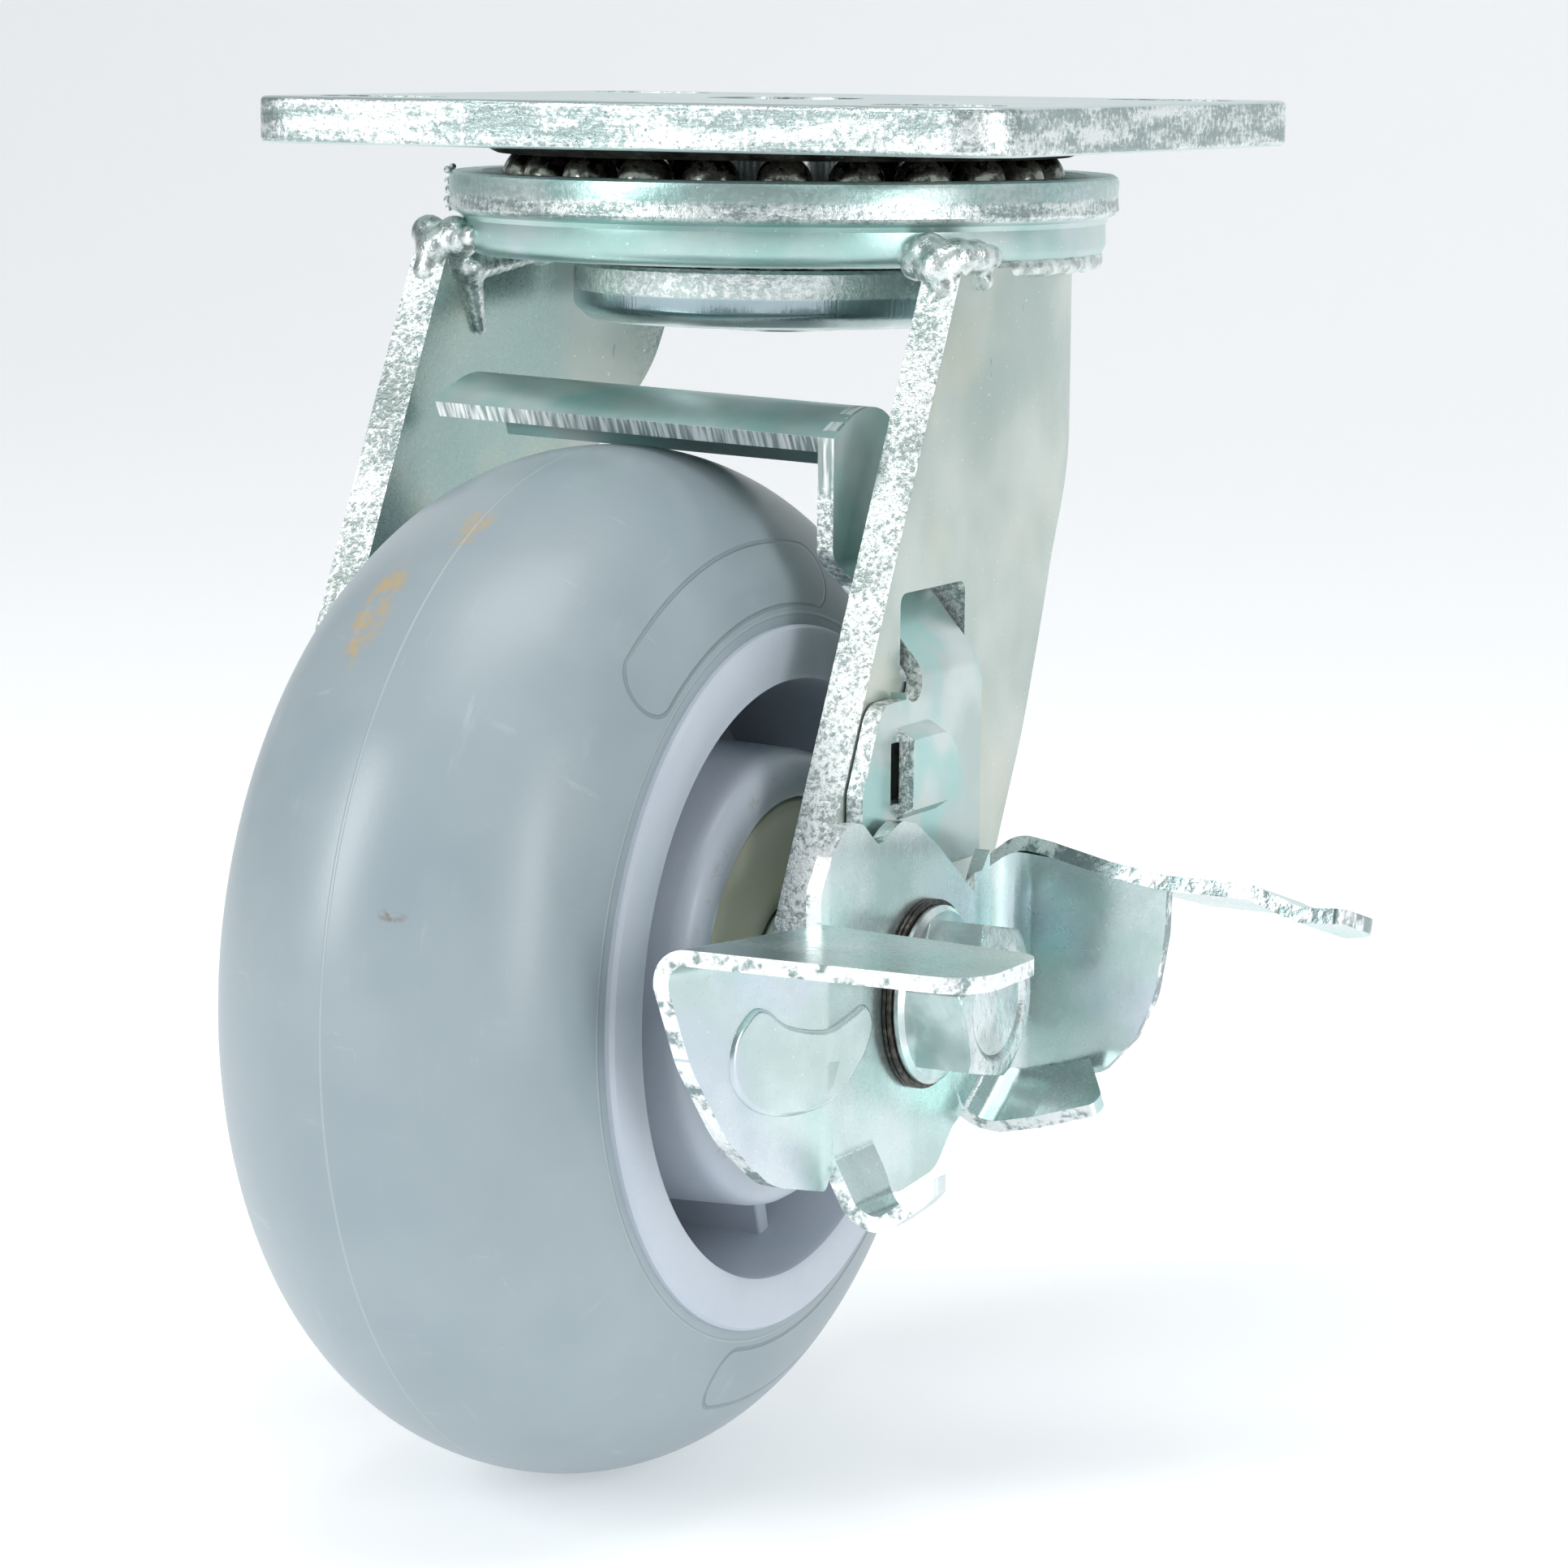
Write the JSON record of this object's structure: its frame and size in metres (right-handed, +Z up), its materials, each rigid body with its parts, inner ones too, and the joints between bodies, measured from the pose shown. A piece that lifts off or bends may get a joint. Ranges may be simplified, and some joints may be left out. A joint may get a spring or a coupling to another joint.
{
  "type": "gate wheel",
  "caption": "Swivel plate caster for a gate: double ball race, welded steel fork, wide round-tread wheel on a roller bearing, tread brake shoe worked by a side foot lever.",
  "frame": {"origin": "centre of the mounting plate's top face", "axes": "+Z up out of the plate, +X along the axle towards the foot lever, the wheel trails towards -Y"},
  "size_m": [0.1532, 0.1704, 0.182],
  "materials": {
    "zinc_plate": "bright zinc plating, faint blue-green tint",
    "zinc_sheet": "bright zinc plating on pressed sheet",
    "weld_metal": "plated weld bead",
    "greased_steel": "hardened, dark with grease",
    "ball_steel": "hardened, greasy",
    "spring_steel": "oiled black",
    "bolt_steel": "bright zinc plating",
    "grey_tread": "satin blue-grey elastomer",
    "grey_core": "moulded, light lavender grey",
    "ivory_plastic": "moulded, ivory",
    "dark_plastic": "moulded, black"
  },
  "bodies": {
    "mounting_plate": {"top_plate": "zinc_plate", "upper_race": "greased_steel", "kingpin": "bolt_steel", "lower_race_disc": "zinc_plate"},
    "upper_balls": {"upper_ball_set": "ball_steel"},
    "lower_balls": {"lower_ball_set": "ball_steel"},
    "fork": {"yoke_base": "zinc_plate", "near_leg": "zinc_plate", "far_leg": "zinc_plate", "near_weld": "weld_metal", "far_weld": "weld_metal", "axle_bolt": "bolt_steel", "axle_nut": "bolt_steel", "nut_washer": "bolt_steel", "cam_spacer": "bolt_steel", "spring_washers": "spring_steel", "spanner_bushing": "bolt_steel", "side_spacers": "bolt_steel"},
    "wheel": {"tyre": "grey_tread", "wheel_core": "grey_core", "near_bearing_cap": "ivory_plastic", "far_bearing_cap": "ivory_plastic"},
    "bearing": {"bearing_rollers": "ball_steel", "roller_cage": "dark_plastic"},
    "brake_bar": {"brake_bar": "zinc_sheet"},
    "brake_lever": {"brake_lever": "zinc_sheet"}
  },
  "joints": [
    {"name": "swivel", "type": "hinge", "parent": "mounting_plate", "child": "fork", "pos_m": [0, 0, 0], "axis": [0, 0, 1], "continuous": true},
    {"name": "upper_ball_orbit", "type": "hinge", "parent": "mounting_plate", "child": "upper_balls", "pos_m": [0, 0, -0.0109], "axis": [0, 0, 1], "continuous": true},
    {"name": "lower_ball_orbit", "type": "hinge", "parent": "mounting_plate", "child": "lower_balls", "pos_m": [0, 0, -0.0226], "axis": [0, 0, 1], "continuous": true},
    {"name": "wheel_spin", "type": "hinge", "parent": "fork", "child": "wheel", "pos_m": [0, -0.051, -0.1134], "axis": [1, 0, 0], "continuous": true},
    {"name": "roller_orbit", "type": "hinge", "parent": "fork", "child": "bearing", "pos_m": [0, -0.051, -0.1134], "axis": [1, 0, 0], "continuous": true},
    {"name": "lever_turn", "type": "hinge", "parent": "fork", "child": "brake_lever", "pos_m": [0.0466, -0.051, -0.1134], "axis": [1, 0, 0], "range_deg": [0, 20]},
    {"name": "bar_rock", "type": "hinge", "parent": "fork", "child": "brake_bar", "pos_m": [0.0392, -0.038, -0.0685], "axis": [0, 1, 0], "range_deg": [-1.2, 0]}
  ],
  "couplings": [
    {"joint": "upper_ball_orbit", "follows": "swivel", "ratio": 0.5},
    {"joint": "lower_ball_orbit", "follows": "swivel", "ratio": 0.5},
    {"joint": "roller_orbit", "follows": "wheel_spin", "ratio": 0.6},
    {"joint": "bar_rock", "follows": "lever_turn", "ratio": -0.06}
  ]
}
